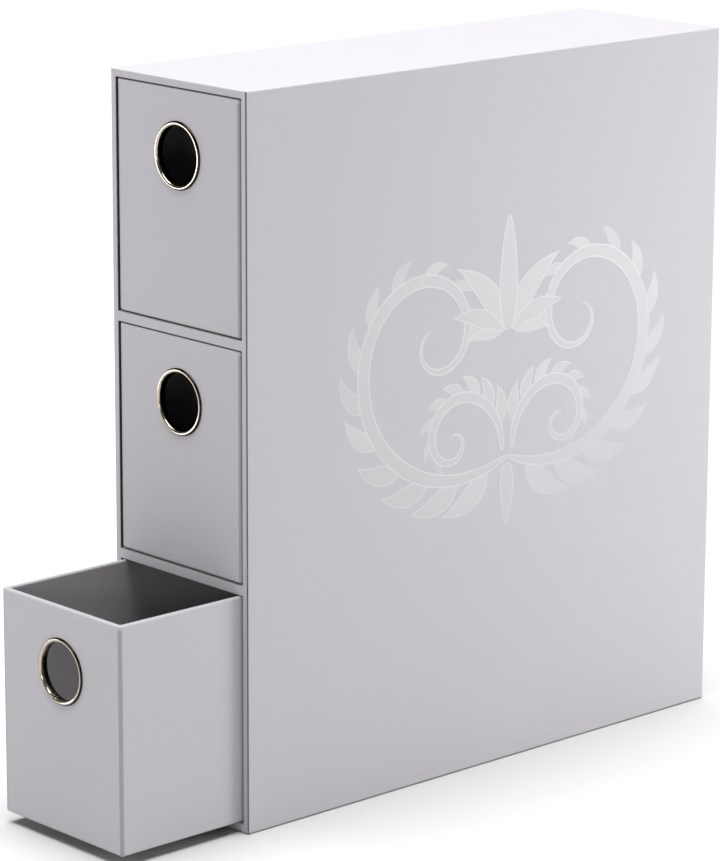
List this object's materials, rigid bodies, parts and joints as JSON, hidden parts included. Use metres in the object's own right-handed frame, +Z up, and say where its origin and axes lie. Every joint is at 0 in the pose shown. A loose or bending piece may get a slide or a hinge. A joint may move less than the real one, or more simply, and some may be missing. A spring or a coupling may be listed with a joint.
{
  "type": "card storage box with drawers",
  "caption": "Tall narrow paper-covered board cabinet whose drawers slide out of the front by metal finger rings, to store standing trading cards.",
  "frame": {"origin": "middle of the cabinet's footprint on its lower face, halfway between front and back and between the sides", "axes": "+X to the right as seen from the front, +Y from the drawer fronts to the back, +Z up"},
  "size_m": [0.0926, 0.3749, 0.34],
  "materials": {
    "greyboard": "matte",
    "cover_paper": "matte",
    "lining_paper": "matte",
    "paper_tape": "matte",
    "ring_metal": "polished"
  },
  "bodies": {
    "case": {"case_left_board": "greyboard", "case_right_board": "greyboard", "case_top_board": "greyboard", "case_bottom_board": "greyboard", "case_back_board": "greyboard", "lower_shelf_board": "greyboard", "upper_shelf_board": "greyboard", "case_corner_tapes": "paper_tape", "case_outer_wrap": "cover_paper", "case_front_trim": "cover_paper", "case_back_sheet": "cover_paper", "case_base_sheet": "cover_paper", "lower_bay_lining": "lining_paper", "middle_bay_lining": "lining_paper", "upper_bay_lining": "lining_paper"},
    "lower_drawer": {"lower_drawer_front_board": "greyboard", "lower_drawer_back_board": "greyboard", "lower_drawer_left_board": "greyboard", "lower_drawer_right_board": "greyboard", "lower_drawer_bottom_board": "greyboard", "lower_drawer_corner_tapes": "paper_tape", "lower_drawer_outer_wrap": "cover_paper", "lower_drawer_wall_lining": "lining_paper", "lower_drawer_floor_lining": "lining_paper", "lower_drawer_finger_ring": "ring_metal"},
    "middle_drawer": {"middle_drawer_front_board": "greyboard", "middle_drawer_back_board": "greyboard", "middle_drawer_left_board": "greyboard", "middle_drawer_right_board": "greyboard", "middle_drawer_bottom_board": "greyboard", "middle_drawer_corner_tapes": "paper_tape", "middle_drawer_outer_wrap": "cover_paper", "middle_drawer_wall_lining": "lining_paper", "middle_drawer_floor_lining": "lining_paper", "middle_drawer_finger_ring": "ring_metal"},
    "upper_drawer": {"upper_drawer_front_board": "greyboard", "upper_drawer_back_board": "greyboard", "upper_drawer_left_board": "greyboard", "upper_drawer_right_board": "greyboard", "upper_drawer_bottom_board": "greyboard", "upper_drawer_corner_tapes": "paper_tape", "upper_drawer_outer_wrap": "cover_paper", "upper_drawer_wall_lining": "lining_paper", "upper_drawer_floor_lining": "lining_paper", "upper_drawer_finger_ring": "ring_metal"}
  },
  "joints": [
    {"name": "lower_drawer_slide", "type": "slide", "parent": "case", "child": "lower_drawer", "axis": [0, -1, 0], "range_m": [-0.07, 0.21]},
    {"name": "middle_drawer_slide", "type": "slide", "parent": "case", "child": "middle_drawer", "axis": [0, -1, 0], "range_m": [0, 0.28]},
    {"name": "upper_drawer_slide", "type": "slide", "parent": "case", "child": "upper_drawer", "axis": [0, -1, 0], "range_m": [0, 0.28]}
  ]
}
